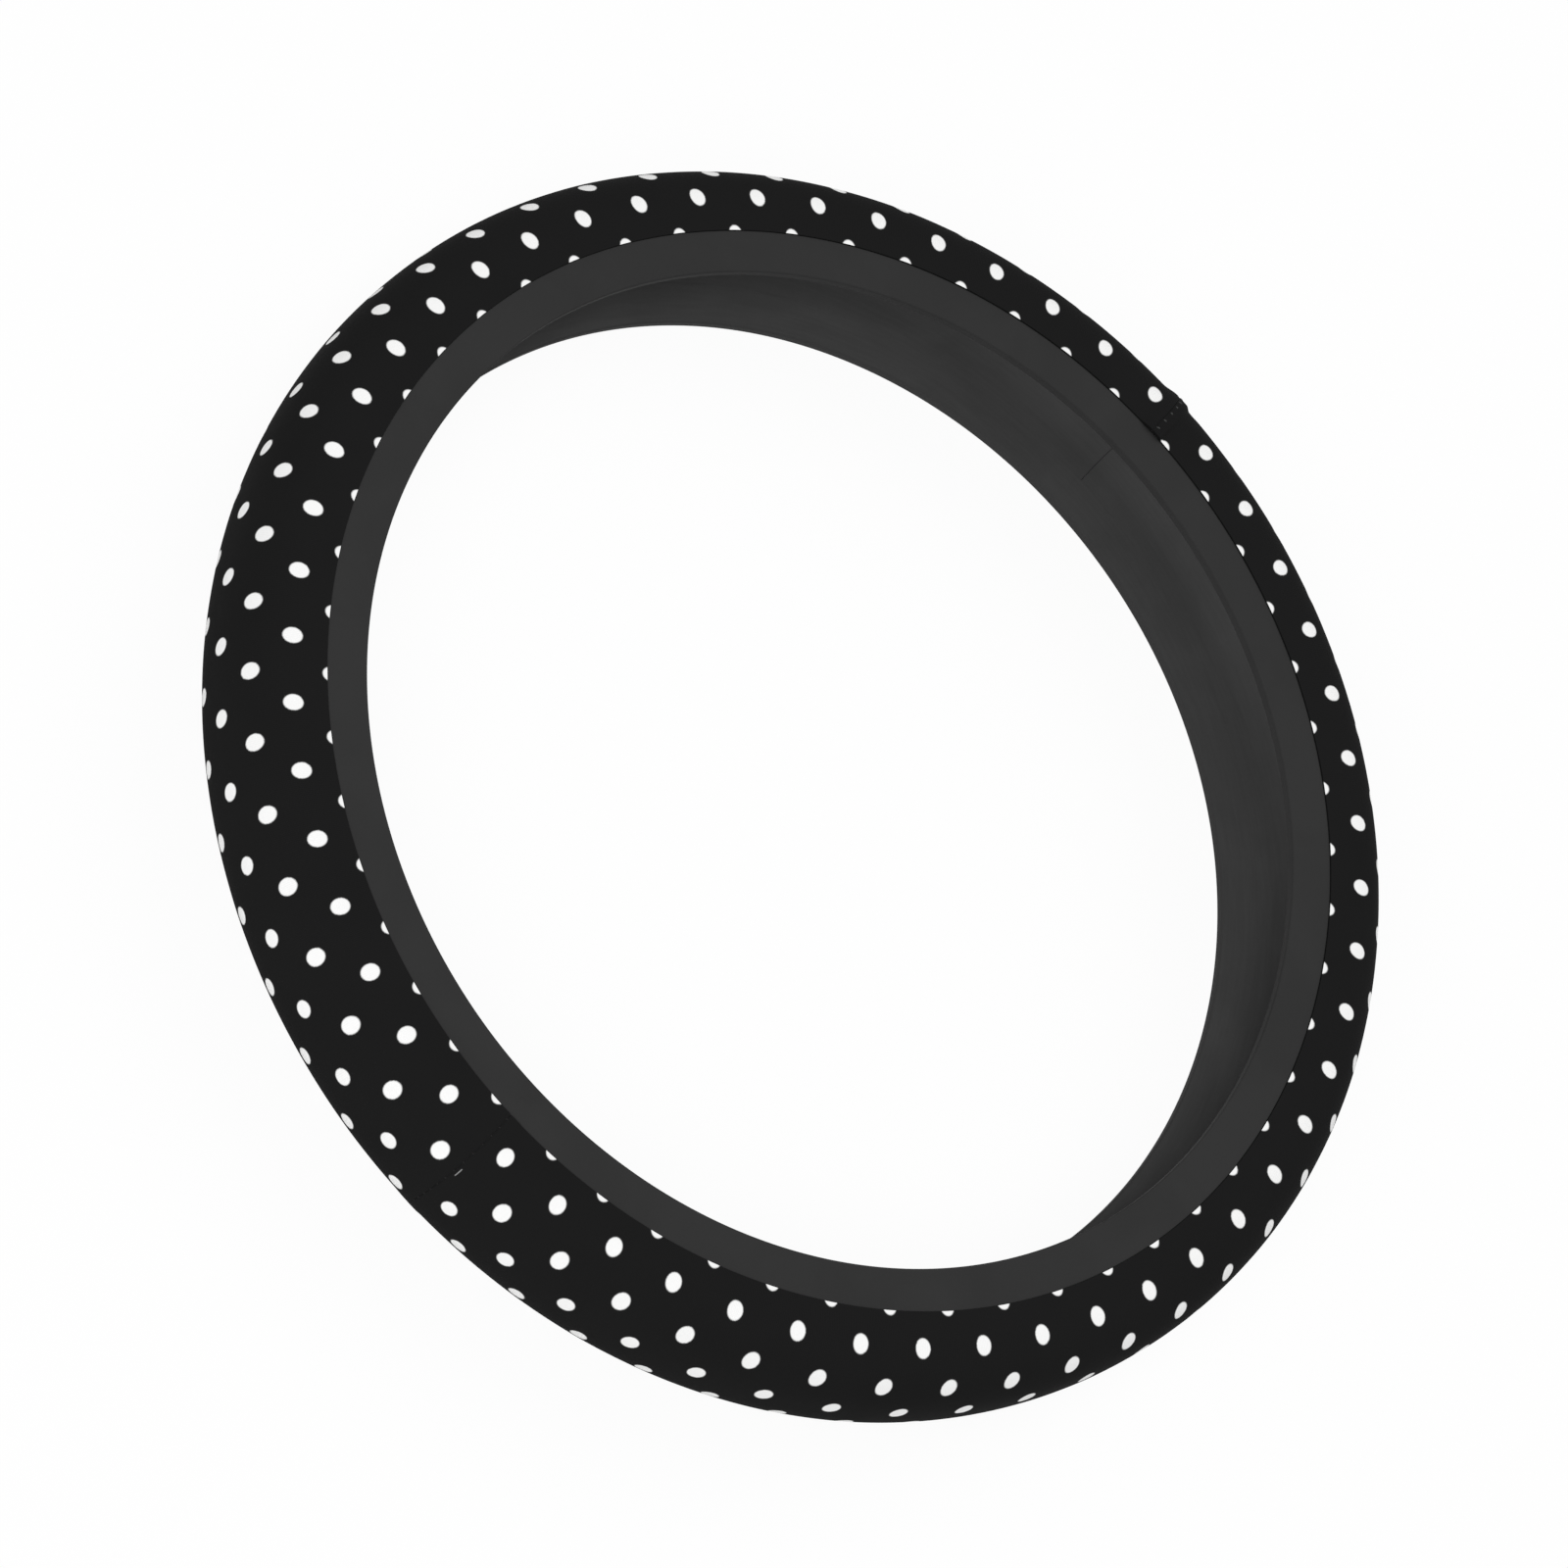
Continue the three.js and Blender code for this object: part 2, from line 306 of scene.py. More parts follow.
def picked(tree, line, row, kind):
    """The x and y of a line's point number row: its place, or its direction."""
    field = tree.node({"place": "GeometryNodeInputPosition", "direction": "GeometryNodeInputTangent"}[kind])
    made = tree.node(
        "GeometryNodeSampleIndex",
        {"data_type": "FLOAT_VECTOR", "domain": "POINT"},
        {"Geometry": line, "Value": field.outputs[0], "Index": row},
    )
    return tree.parts(made.outputs[0])[:2]


def turned_sheet(tree, size, rows, place_of):
    """A grid bent round the wheel's axis.

    From a row's number and a place along it, place_of gives the radius, the height, and the place
    on the spread cloth, along and across.
    """
    grid = tree.node(
        "GeometryNodeMeshGrid",
        {},
        {"Size X": 1.0, "Size Y": 1.0, "Vertices X": size["Steps along"] + 1, "Vertices Y": rows},
    )
    at = tree.parts(tree.node("GeometryNodeInputPosition").outputs[0])
    even = at[0] + 0.5
    along = even - size["Crowding"] * (even * (2 * math.pi)).sin() / (2 * math.pi)
    row = ((at[1] + 0.5) * (rows - 1)).rounded()
    radius, height, printed, across = place_of(row, along)
    angle = size["Middle angle"] + (along - 0.5) * size["Sweep"]
    spread = tree.node(
        "GeometryNodeStoreNamedAttribute",
        {"data_type": "FLOAT2", "domain": "CORNER"},
        {"Geometry": grid.outputs[0], "Name": "cloth", "Value": tree.vector(printed, across, 0.0)},
    )
    place = tree.vector(radius * angle.cos(), radius * angle.sin(), height)
    bent = placed(tree, spread.outputs[0], place)
    return tree.node("GeometryNodeFlipFaces", {}, {"Mesh": bent}).outputs[0]


def wave(tree, spread):
    """Slow unevenness over a spread sheet, from about -1 to 1."""
    made = tree.node(
        "ShaderNodeTexNoise",
        {},
        {"Vector": spread, "Scale": 1 / UNEVENNESS_SPACING, "Detail": 1.0, "Roughness": 0.4},
    )
    return (tree.number(made) - 0.5) * 2


SECTION_SIZES = {
    "Shoulder radius": SHOULDER_RADIUS,
    "Round depth": ROUND_DEPTH,
    "Half height": HALF_HEIGHT,
    "Flat width": FLAT_WIDTH,
    "Section power": SECTION_POWER,
    "Base height": HALF_HEIGHT,
}

BAND_ROWS = 65
BAND_SIZES = {
    **SECTION_SIZES,
    "Middle angle": 0.0,
    "Sweep": math.pi,
    "Length": PANEL_LENGTH,
    "Width": BAND_WIDTH,
    "Steps along": 400,
    "Crowding": 0.0,
    "First ridge": 0.0,
    "Last ridge": 0.0,
    "Ridge reach": 4 * MM,
    "Ridge flat": 2 * MM,
    "First groove": 0.0,
    "Last groove": 0.0,
    "Groove reach": GROOVE_REACH,
    "Unevenness": 0.0,
    "Print start": 0.0,
    "Print slip": 0.0,
    "Print pull": 0.0,
    "Print pull reach": 12 * MM,
}


def raised(tree, size, along, spread):
    """How far the band stands proud of the section: a ridge and a groove at both ends, and unevenness."""
    to_end = along.at_most(1 - along) * size["Length"]
    at_last = along.above(0.5)
    ridge = size["First ridge"] + (size["Last ridge"] - size["First ridge"]) * at_last
    groove = size["First groove"] + (size["Last groove"] - size["First groove"]) * at_last
    hill = 1 - to_end.eased(size["Ridge flat"], size["Ridge reach"])
    dip = (1 - (to_end / size["Groove reach"]) ** 2).at_least(0)
    return ridge * hill - groove * dip + wave(tree, spread) * size["Unevenness"]


def band_tree():
    """A sheet with the cover's section, bent round the wheel, with a ridge and a groove at both ends.

    Where the cover lies on its back, the sheet is pressed flat.
    """
    tree, size = shape_tree("band", BAND_SIZES)
    even = resampled(tree, section_line(tree, size), BAND_ROWS)

    def place_of(row, along):
        radius, height = picked(tree, even, row, "place")
        out, up = picked(tree, even, row, "direction")
        from_start = along * size["Length"]
        across = row / (BAND_ROWS - 1) * size["Width"]
        spread = tree.vector(from_start, across, size["Middle angle"])
        lift = raised(tree, size, along, spread) * (height / size["Half height"]).eased(*PRESSED)
        slip = size["Print start"] + size["Print slip"] * (along * math.pi).sin()
        pull = size["Print pull"] * (-from_start / size["Print pull reach"]).exp()
        printed = from_start - slip - pull
        return radius - up * lift, size["Base height"] + height + out * lift, printed, across

    sheet = turned_sheet(tree, size, BAND_ROWS, place_of)
    return end_tree(tree, sheet, size["Material"])


CORNER_STEPS = 4
LIP_ROW_SPACING = 1.5 * MM
LIP_SIZES = {
    "Inner radius": LIP_INNER_RADIUS,
    "Outer radius": LIP_OUTER_RADIUS,
    "Thickness": LIP_THICKNESS,
    "Inner edge radius": LIP_EDGE_RADIUS,
    "Outer edge radius": LIP_OUTER_EDGE_RADIUS,
    "Middle height": HALF_HEIGHT,
    "Middle angle": 0.0,
    "Sweep": 2 * math.pi,
    "Length": 2 * math.pi * LIP_INNER_RADIUS,
    "Steps along": 480,
    "Crowding": 0.0,
}


def lip_tree():
    """A flat closed ring with rounded edges."""
    tree, size = shape_tree("lip", LIP_SIZES)
    block = tree.node(
        "GeometryNodeCurvePrimitiveQuadrilateral",
        {"mode": "RECTANGLE"},
        {"Width": size["Outer radius"] - size["Inner radius"], "Height": size["Thickness"]},
    )
    side = tree.parts(tree.node("GeometryNodeInputPosition").outputs[0])[0]
    inner, outer = size["Inner edge radius"], size["Outer edge radius"]
    outline = tree.node(
        "GeometryNodeFilletCurve",
        {"mode": "POLY"},
        {
            "Curve": block.outputs[0],
            "Count": CORNER_STEPS,
            "Radius": inner + (outer - inner) * side.above(0),
        },
    )
    corners = 4 * (CORNER_STEPS + 1)

    def place_of(row, along):
        x, y = picked(tree, outline.outputs[0], (corners - row) % corners, "place")
        middle = (size["Outer radius"] + size["Inner radius"]) / 2
        return middle + x, size["Middle height"] + y, along * size["Length"], row * LIP_ROW_SPACING

    sheet = turned_sheet(tree, size, corners + 1, place_of)
    closed = tree.node("GeometryNodeMergeByDistance", {}, {"Geometry": sheet, "Distance": 0.001 * MM})
    return end_tree(tree, closed.outputs[0], size["Material"])


ARCH_POINTS = 8
THREAD_CORNERS = 8
STITCH_SIZES = {
    **SECTION_SIZES,
    "Angle": 0.0,
    "Start": 2.1 * MM,
    "End": 77.7 * MM,
    "Pitch": STITCH_PITCH,
    "Stitch length": 1.1 * MM,
    "Thread radius": 0.28 * MM,
    "Rise": 0.5 * MM,
    "Lift": 0.0,
    "Turn": 0.3,
    "Looseness": 0.25,
}


def stitch_places(tree, size):
    """Points a pitch apart on the section's line, which stands at the stitches' angle."""
    line = section_line(tree, size)
    x, y, _ = tree.parts(tree.node("GeometryNodeInputPosition").outputs[0])
    angle = size["Angle"]
    stood = placed(tree, line, tree.vector(x * angle.cos(), x * angle.sin(), y + size["Base height"]))
    cut = tree.node(
        "GeometryNodeTrimCurve",
        {"mode": "LENGTH"},
        {"Curve": stood, 4: size["Start"], 5: size["End"]},
    )
    points = tree.node(
        "GeometryNodeResampleCurve",
        {"mode": "LENGTH"},
        {"Curve": cut.outputs[0], "Length": size["Pitch"]},
    )
    return points.outputs[0]


def one_stitch(tree, size):
    """One arch of thread along x, its ends bent down."""
    half = size["Stitch length"] / 2
    straight = tree.node(
        "GeometryNodeCurvePrimitiveLine",
        {},
        {"Start": tree.vector(-half, 0.0, 0.0), "End": tree.vector(half, 0.0, 0.0)},
    )
    dotted = resampled(tree, straight.outputs[0], ARCH_POINTS)
    share = tree.number(tree.node("GeometryNodeSplineParameter"), "Factor")
    fall = abs(share * 2 - 1) ** 2.5 * size["Rise"]
    arch = tree.node(
        "GeometryNodeSetPosition",
        {},
        {"Geometry": dotted, "Offset": tree.vector(0.0, 0.0, -fall)},
    )
    ring = tree.node(
        "GeometryNodeCurvePrimitiveCircle",
        {"mode": "RADIUS"},
        {"Resolution": THREAD_CORNERS, "Radius": size["Thread radius"]},
    )
    strand = tree.node(
        "GeometryNodeCurveToMesh",
        {},
        {"Curve": arch.outputs[0], "Profile Curve": ring.outputs[0], "Fill Caps": True},
    )
    return strand.outputs[0]


def stitch_turn(tree, outward, round_ring, twist):
    """A rotation with z outward and x round the ring, twisted about z."""
    facing = tree.node(
        "FunctionNodeAxesToRotation",
        {"primary_axis": "Z", "secondary_axis": "X"},
        {"Primary Axis": outward, "Secondary Axis": round_ring},
    )
    spin = tree.node("FunctionNodeAxisAngleToRotation", {}, {"Axis": (0.0, 0.0, 1.0), "Angle": twist})
    turned = tree.node(
        "FunctionNodeRotateRotation",
        {"rotation_space": "LOCAL"},
        {"Rotation": facing.outputs[0], "Rotate By": spin.outputs[0]},
    )
    return turned.outputs[0]


def stitch_tree():
    """A run of stitches along the section's line at one angle, each a short arch of thread.

    Where the cover lies on its back, they are pressed into the fabric.
    """
    tree, size = shape_tree("stitches", STITCH_SIZES)
    angle = size["Angle"]
    round_ring = tree.vector(-angle.sin(), angle.cos(), 0.0)
    tangent = tree.node("GeometryNodeInputTangent").outputs[0]
    across = tree.node("ShaderNodeVectorMath", {"operation": "CROSS_PRODUCT"}, {0: tangent, 1: round_ring})
    outward = across.outputs[0]
    height = tree.parts(tree.node("GeometryNodeInputPosition").outputs[0])[2] - size["Base height"]
    free = (height / size["Half height"]).eased(*PRESSED)
    rise = size["Lift"] * free - size["Thread radius"] * (1 - free)
    lifted = tree.node("ShaderNodeVectorMath", {"operation": "SCALE"}, {0: outward, "Scale": rise})
    moved = tree.node(
        "GeometryNodeSetPosition",
        {},
        {"Geometry": stitch_places(tree, size), "Offset": lifted.outputs[0]},
    )
    chance = tree.node("FunctionNodeRandomValue", {"data_type": "FLOAT"}, {2: -1.0, 3: 1.0, "Seed": 7})
    loose = tree.number(chance, 1) * size["Looseness"]
    copies = tree.node(
        "GeometryNodeInstanceOnPoints",
        {},
        {
            "Points": moved.outputs[0],
            "Instance": one_stitch(tree, size),
            "Rotation": stitch_turn(tree, outward, round_ring, size["Turn"] + loose),
            "Scale": tree.vector(1 + loose, 1.0, 1.0),
        },
    )
    return end_tree(tree, copies.outputs[0], size["Material"])


def walled(piece, thickness, edge_radius, backing=None):
    """Gives a sheet its wall on the inner side, with rounded edges.

    Backing is the inner side's material.
    """
    if backing is not None:
        piece.data.materials.append(backing)
    wall = piece.modifiers.new("wall", "SOLIDIFY")
    wall.thickness = thickness
    wall.offset = -1
    wall.use_even_offset = True
    if backing is not None:
        wall.material_offset = 1
        wall.material_offset_rim = 1
    edge = piece.modifiers.new("edge", "BEVEL")
    edge.width = edge_radius
    edge.segments = 3
    edge.limit_method = "ANGLE"
    edge.angle_limit = math.radians(60)
    edge.use_clamp_overlap = True
    return evenly_shaded(piece)


def evenly_shaded(piece):
    """Shades flat faces flat, so that only the rounded edges beside them look rounded."""
    piece.modifiers.new("shading", "WEIGHTED_NORMAL")
    return plain_mesh(piece)


# Materials

def grey(level):
    """A colour without hue, from 0 for black to 1 for white."""
    return (level, level, level, 1)


def finish_of(name, specular):
    """A new material, its tree and its surface shader."""
    material = bpy.data.materials.new(name)
    material.use_nodes = True
    tree = Tree(material.node_tree)
    surface = tree.node("ShaderNodeBsdfPrincipled", {}, {"Specular IOR Level": specular})
    tree.node("ShaderNodeOutputMaterial", {}, {"Surface": surface.outputs[0]})
    return material, tree, surface


def feed(tree, surface, sockets):
    """Links what changes over a surface to its shader."""
    for name, value in sockets.items():
        tree.tree.links.new(getattr(value, "socket", value), surface.inputs[name])


def speckle(tree, place, size, detail=2.0, distortion=0.0):
    """Noise from 0 to 1 whose grains are about that size, in metres."""
    made = tree.node(
        "ShaderNodeTexNoise",
        {},
        {"Vector": place, "Scale": 1 / size, "Detail": detail, "Distortion": distortion},
    )
    return tree.number(made, "Fac")


def relief(tree, height, depth, strength):
    """A normal from a height between 0 and 1 that stands for that depth, in metres."""
    made = tree.node("ShaderNodeBump", {}, {"Strength": strength, "Distance": depth, "Height": height})
    return made.outputs[0]


def knit(along, across):
    """Height of a fine knit, from 0 to 1, along and across in millimetres."""
    rib = abs((along * (math.pi / KNIT_ALONG)).sin())
    loop = ((across / KNIT_ACROSS + rib * 0.4) * (2 * math.pi)).sin() * 0.5 + 0.5
    return rib * 0.65 + loop * 0.35


def off_nearest(value, first, step):
    """How far a value is from the nearest of places that stand a step apart."""
    return (value - first + step / 2) % step - step / 2


def dot_mask(along, across):
    """1 inside a printed dot and 0 outside. The rows are staggered about the panel's middle."""
    reach = []
    from_middle = along - PANEL_LENGTH / MM / 2
    for side, row in ((1, 0), (-1, 1)):
        x = off_nearest(from_middle, side * DOT_SPACING / 4, DOT_SPACING) / (DOT_LENGTH / 2)
        y = off_nearest(across, FIRST_ROW + row * ROW_SPACING, 2 * ROW_SPACING) / (DOT_WIDTH / 2)
        reach.append((x * x + y * y) ** 0.5)
    return 1 - reach[0].at_most(reach[1]).eased(1 - INK_EDGE, 1 + INK_EDGE)


def dotted_fabric():
    """Black knit with white printed dots."""
    material, tree, surface = finish_of("dotted_fabric", 0.02)
    place = tree.node("ShaderNodeTexCoord").outputs["Object"]
    u, v, _ = tree.parts(tree.node("ShaderNodeUVMap", {"uv_map": "cloth"}).outputs[0])
    along, across = u / MM, v / MM
    height = knit(along, across)
    patches = speckle(tree, place, 25 * MM)
    fuzz = speckle(tree, place, 0.5 * MM)
    creep = (fuzz - 0.5) * 0.25
    ink = dot_mask(along + creep, across + creep)
    black = tree.mixed(grey(0.009), (0.0132, 0.0132, 0.0133, 1), patches * 0.4 + height * 0.6)
    white = tree.mixed((0.90, 0.90, 0.895, 1), (0.965, 0.965, 0.96, 1), height)
    feed(
        tree,
        surface,
        {
            "Base Color": tree.mixed(black, white, ink),
            "Roughness": 0.78 + fuzz * 0.14 - ink * 0.06,
            "Normal": relief(tree, height + fuzz * 0.3, 0.06 * MM, 0.35),
        },
    )
    return material


def fabric_backing():
    """The black back and cut edge of the fabric."""
    material, tree, surface = finish_of("fabric_backing", 0.04)
    place = tree.node("ShaderNodeTexCoord").outputs["Object"]
    fuzz = speckle(tree, place, 0.4 * MM, 3.0)
    feed(
        tree,
        surface,
        {
            "Base Color": tree.mixed(grey(0.005), grey(0.011), fuzz),
            "Roughness": 0.82 + fuzz * 0.12,
            "Normal": relief(tree, fuzz, 0.15 * MM, 0.5),
        },
    )
    return material


def flow_lines(tree, place):
    """Faint lines round the wheel's axis, from 0 to 1, as the mould leaves them."""
    x, y, z = tree.parts(place)
    radius = (x * x + y * y) ** 0.5
    slow = 12 * MM / radius
    return speckle(tree, tree.vector(radius + z * 0.7, x * slow, y * slow), 1.2 * MM)


# Radii over which the back lip's cut edge, out of the channel's shade, loses the painted fill light
CUT_EDGE = (LIP_INNER_RADIUS + 0.1 * MM, LIP_INNER_RADIUS + 0.8 * MM)


def cut_edge(tree, place):
    """1 on the edge of a lip round the hole, and 0 away from it."""
    x, y, _ = tree.parts(place)
    return 1 - ((x * x + y * y) ** 0.5).eased(*CUT_EDGE)


def rubber(name, dark, light, grain, lined=0.0, edge=None):
    """Grey moulded rubber with a fine pebbled grain and slow cloudiness.

    Lined is how strongly it shows flow lines, and edge is the grey painted on a lip's cut edge: darker than
    a rubber painted pale as fill light for a shaded channel, since the edge lies out of that shade.
    """
    material, tree, surface = finish_of(name, 0.08)
    place = tree.node("ShaderNodeTexCoord").outputs["Object"]
    cells = tree.node(
        "ShaderNodeTexVoronoi",
        {"feature": "SMOOTH_F1"},
        {"Vector": place, "Scale": 1 / grain},
    )
    pebble = tree.number(cells, "Distance")
    dust = speckle(tree, place, 0.3 * MM, 3.0)
    cloud = speckle(tree, place, 35 * MM, 3.0, 0.6)
    share = cloud.eased(0.3, 0.7) * 0.6 + dust * 0.25 + pebble * 0.15
    if lined:
        share = share + (flow_lines(tree, place) - 0.5) * lined
    colour = tree.mixed(grey(dark), grey(light), share)
    # Painted light: the cut edge lies out of the channel's shade, so it is painted darker than the
    # painted-pale rest of the rubber
    if edge is not None:
        colour = tree.mixed(colour, grey(edge), cut_edge(tree, place))
    feed(
        tree,
        surface,
        {
            "Base Color": colour,
            "Roughness": 0.62 + dust * 0.12 + cloud * 0.08,
            "Normal": relief(tree, pebble + dust * 0.4, 0.05 * MM, 0.3),
        },
    )
    return material


def thread(name, dark, light):
    """Twisted sewing thread."""
    material, tree, surface = finish_of(name, 0.1)
    x, y, z = tree.parts(tree.node("ShaderNodeTexCoord").outputs["Object"])
    ply = ((x + y + z) * (2 * math.pi / (0.35 * MM))).sin() * 0.5 + 0.5
    feed(
        tree,
        surface,
        {
            "Base Color": tree.mixed(grey(dark), grey(light), ply),
            "Roughness": 0.5 + ply * 0.15,
            "Normal": relief(tree, ply, 0.06 * MM, 0.5),
        },
    )
    return material


# Pieces

def kept(piece, slot, *nodes):
    """Makes the piece move with the cover and stand for these solids."""
    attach(piece, "root")
    if nodes:
        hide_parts(*nodes)


PANELS = {
    "right": {
        "Middle angle": 0.0,
        "Ridge reach": 5.6 * MM,
        "Ridge flat": 3.4 * MM,
        "Print start": 0.28 * MM,
        "Print slip": -0.73 * MM,
        "Print pull": 0.8 * MM,
    },
    "left": {
        "Middle angle": math.pi,
        "Ridge reach": 6.6 * MM,
        "Ridge flat": 0.6 * MM,
        "Print slip": 0.2 * MM,
    },
}
PANEL_ENDS = {"right": ("near", "far"), "left": ("far", "near")}


def fabric_panels(group, cloth, backing):
    """Both halves of the fabric, over the liner."""
    for side, (first, last) in PANEL_ENDS.items():
        sizes = {
            **BAND_SIZES,
            **PANELS[side],
            "Sweep": math.pi - SEAM_GAP / OUTER_RADIUS,
            "Crowding": 0.85,
            "First ridge": RIDGE_HEIGHTS[first],
            "Last ridge": RIDGE_HEIGHTS[last],
            "First groove": GROOVE_DEPTHS[first],
            "Last groove": GROOVE_DEPTHS[last],
            "Unevenness": UNEVENNESS,
            "Material": cloth,
        }
        sheet = shaped(f"dotted_fabric_{side}", group, sizes)
        piece = walled(sheet, FABRIC_THICKNESS, FABRIC_EDGE_RADIUS, backing)
        kept(piece, "dotted_fabric", f"fabric_panel_{side}")


def liner(group, finish):
    """The rubber channel: one strip, bent into a ring with its joint at the far seam."""
    sizes = {
        **BAND_SIZES,
        "Round depth": ROUND_DEPTH - LINER_INSET,
        "Half height": HALF_HEIGHT - LINER_INSET,
        "Flat width": FLAT_WIDTH + LINER_REACH,
        "Middle angle": -math.pi / 2,
        "Sweep": 2 * math.pi - LINER_JOINT_GAP / SHOULDER_RADIUS,
        "Length": 2 * math.pi * OUTER_RADIUS,
        "Steps along": 560,
        "Material": finish,
    }
    piece = walled(shaped("rubber_liner", group, sizes), LINER_THICKNESS, LINER_EDGE_RADIUS)
    kept(piece, "liner_rubber", "channel_liner")


def lips(group, finishes):
    """The flat rings round the hole, on the front and on the back."""
    level = HALF_HEIGHT - LIP_DROP - LIP_THICKNESS / 2
    for side, sign in (("front", 1), ("back", -1)):
        sizes = {**LIP_SIZES, "Middle height": HALF_HEIGHT + sign * level, "Material": finishes[side]}
        kept(evenly_shaded(shaped(f"rubber_lip_{side}", group, sizes)), "lip_rubber", f"{side}_lip")


def seams(group, threads):
    """The stitches of both seams."""
    for end, angle in SEAM_ANGLES.items():
        sizes = {
            **STITCH_SIZES,
            "Angle": angle + STITCH_SIDES[end] / OUTER_RADIUS,
            "Lift": STITCH_LIFTS[end],
            "Material": threads[end],
        }
        kept(shaped(f"seam_stitches_{end}", group, sizes), "thread", f"seam_thread_{end}")


def loose_end(group, finish):
    """A single thread end that lies beside the near seam."""
    sizes = {
        **STITCH_SIZES,
        "Angle": SEAM_ANGLES["near"] + LOOSE_END_SIDE / OUTER_RADIUS,
        "Start": 23.9 * MM,
        "End": 24.4 * MM,
        "Pitch": 4 * MM,
        "Stitch length": 2.9 * MM,
        "Thread radius": 0.2 * MM,
        "Lift": 0.25 * MM,
        "Turn": math.pi / 2,
        "Looseness": 0.0,
        "Material": finish,
    }
    kept(shaped("loose_thread_end", group, sizes), "thread")


# Stage

CAMERA_AZIMUTH = math.radians(-10.05)
CAMERA_ELEVATION = math.radians(54.44)
CAMERA_ROLL = math.radians(55.48)
FRAME_PIXELS = 1600
PIXEL = 0.2919 * MM  # at the ring's middle
FOCAL_PIXELS = 11595.6
RING_OFF_CENTRE = (19.6, 4.6)  # pixels right and down
SENSOR = 36.0  # millimetres


def direction(azimuth, elevation):
    """Towards a place round the cover. Azimuth 0 is at -Y."""
    level = math.cos(elevation)
    return Vector((math.sin(azimuth) * level, -math.cos(azimuth) * level, math.sin(elevation)))


def camera():
    """The photograph's viewpoint."""
    back = direction(CAMERA_AZIMUTH, CAMERA_ELEVATION)
    level = Vector((math.cos(CAMERA_AZIMUTH), math.sin(CAMERA_AZIMUTH), 0))
    right = Matrix.Rotation(CAMERA_ROLL, 3, back) @ level
    up = back.cross(right)
    lens = bpy.data.cameras.new("photo_camera")
    lens.sensor_width = SENSOR
    lens.lens = SENSOR * FOCAL_PIXELS / FRAME_PIXELS
    lens.clip_start, lens.clip_end = 0.1, 50
    seat = bpy.data.objects.new("photo_camera", lens)
    bpy.context.scene.collection.objects.link(seat)
    aside, down = RING_OFF_CENTRE
    spot = Vector((0, 0, HALF_HEIGHT)) + PIXEL * (-aside * right + down * up + FOCAL_PIXELS * back)
    seat.matrix_world = Matrix.Translation(spot) @ Matrix((right, up, back)).transposed().to_4x4()
    bpy.context.scene.camera = seat


LAMP_AZIMUTH = math.radians(-10)
LAMP_DISTANCE = 4.2
LAMPS = {  # elevation over the near side, radius, and share of the light that makes white paper white
    "front": (math.radians(45), 1.4, 0.55),
    "behind": (math.radians(134), 1.6, 0.35),
}
SKY_LIGHT = 0.35


def seen_directly(tree):
    """1 for a ray that shows the surroundings: from the camera, a gloss or a glass."""
    path = tree.node("ShaderNodeLightPath")
    return (
        tree.number(path, "Is Camera Ray")
        + tree.number(path, "Is Glossy Ray")
        + tree.number(path, "Is Transmission Ray")
    ).at_most(1)


def sky():
    """A pale sky all round."""
    world = bpy.data.worlds.new("pale_room")
    world.use_nodes = True
    tree = Tree(world.node_tree)
    bright = seen_directly(tree) * (1 - SKY_LIGHT) + SKY_LIGHT
    pale = tree.node("ShaderNodeBackground", {}, {"Color": grey(1), "Strength": bright})
    tree.node("ShaderNodeOutputWorld", {}, {"Surface": pale.outputs[0]})
    bpy.context.scene.world = world


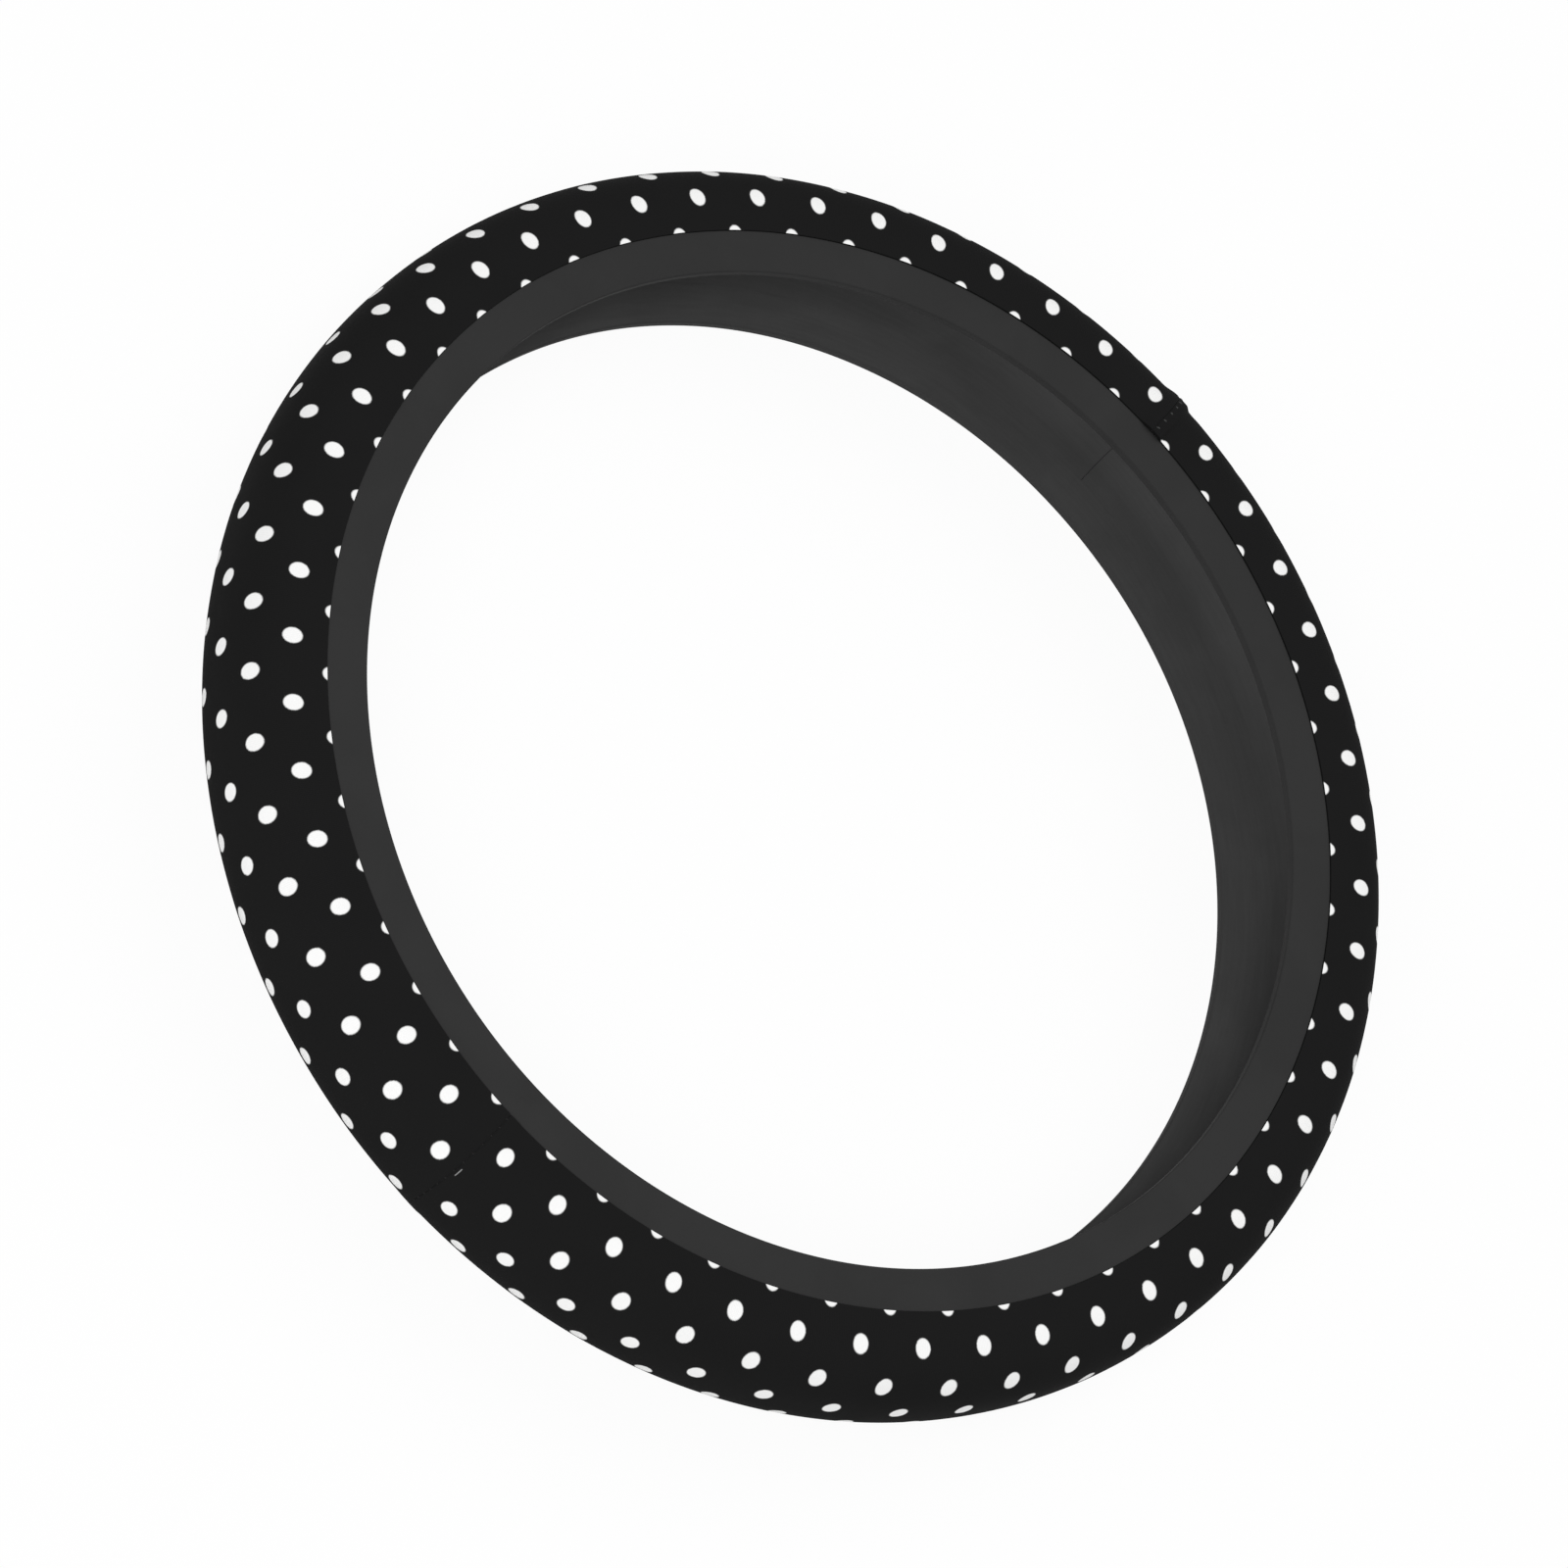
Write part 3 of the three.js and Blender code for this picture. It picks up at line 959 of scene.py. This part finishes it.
def lamps():
    """A soft light from below the camera, and one from behind."""
    for name, (elevation, radius, share) in LAMPS.items():
        lamp = bpy.data.lights.new(f"soft_light_{name}", "AREA")
        lamp.shape = "DISK"
        lamp.size = 2 * radius
        lamp.energy = share * math.pi**2 * (LAMP_DISTANCE**2 + radius**2)
        stand = bpy.data.objects.new(f"soft_light_{name}", lamp)
        bpy.context.scene.collection.objects.link(stand)
        towards = direction(LAMP_AZIMUTH, elevation)
        turn = towards.to_track_quat("Z", "Y").to_matrix().to_4x4()
        stand.matrix_world = Matrix.Translation(towards * LAMP_DISTANCE) @ turn


FLOOR_REACH = 6.0
FLOOR_GLOW = 0.94


def floor():
    """A white floor that looks nearly white to the camera and keeps the cover's shadow."""
    corners = [(x * FLOOR_REACH, y * FLOOR_REACH, 0) for x, y in ((-1, -1), (1, -1), (1, 1), (-1, 1))]
    mesh = bpy.data.meshes.new("white_floor")
    mesh.from_pydata(corners, [], [(0, 1, 2, 3)])
    plane = bpy.data.objects.new("white_floor", mesh)
    bpy.context.scene.collection.objects.link(plane)
    material = bpy.data.materials.new("white_floor")
    material.use_nodes = True
    tree = Tree(material.node_tree)
    paper = tree.node("ShaderNodeBsdfDiffuse", {}, {"Color": grey(0.9)})
    glow = tree.node("ShaderNodeEmission", {}, {"Color": grey(1), "Strength": 1.0})
    shown = tree.node(
        "ShaderNodeMixShader",
        {},
        {0: seen_directly(tree) * FLOOR_GLOW, 1: paper.outputs[0], 2: glow.outputs[0]},
    )
    tree.node("ShaderNodeOutputMaterial", {}, {"Surface": shown.outputs[0]})
    mesh.materials.append(material)


band = band_tree()
fabric_panels(band, dotted_fabric(), fabric_backing())
# The inside rubber is the same grey as the front's, painted paler as painted fill light that makes up for
# the shade inside the channel.
inner_rubber_painted_fill = rubber("inner_rubber_painted_fill", 0.065, 0.081, 1.1 * MM, lined=0.9, edge=0.041)
front_rubber = rubber("front_rubber", 0.0233, 0.030, 0.8 * MM)
liner(band, inner_rubber_painted_fill)
lips(lip_tree(), {"front": front_rubber, "back": inner_rubber_painted_fill})
stitches = stitch_tree()
seams(stitches, {"far": thread("grey_thread", 0.035, 0.065), "near": thread("black_thread", 0.008, 0.013)})
loose_end(stitches, thread("pale_thread", 0.18, 0.36))
floor()
sky()
lamps()
camera()

bpy.context.scene.view_settings.view_transform = "Standard"
